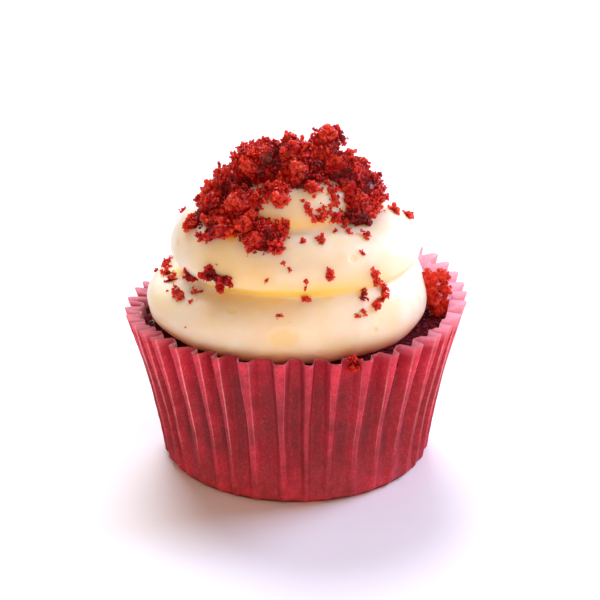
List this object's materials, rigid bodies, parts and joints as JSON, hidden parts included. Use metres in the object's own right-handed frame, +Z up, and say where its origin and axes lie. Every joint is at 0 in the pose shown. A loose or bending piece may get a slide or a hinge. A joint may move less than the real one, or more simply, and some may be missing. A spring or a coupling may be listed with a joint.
{
  "type": "cupcake",
  "caption": "Cupcake in a red pleated paper case, with a piped swirl of cream frosting under a heap of red cake crumbs.",
  "frame": {"origin": "centre of the flat base of the paper case", "axes": "+Z up the cupcake's axis, +X to its right as seen from the side with the lump of crumbs on the frosting's front (-Y)"},
  "size_m": [0.0699, 0.07, 0.0705],
  "materials": {
    "paper": "greaseproof baking paper, matt, a little translucent",
    "cake": "moist dark cake crust, slightly glossy",
    "frosting": "smooth soft cream frosting, satin",
    "crumbs": "crumbled red sponge, matt with moist glints"
  },
  "bodies": {
    "root": {"paper_case": "paper", "cake": "cake", "frosting": "frosting", "crumb_heap": "crumbs", "rim_chunk": "crumbs"}
  },
  "joints": []
}
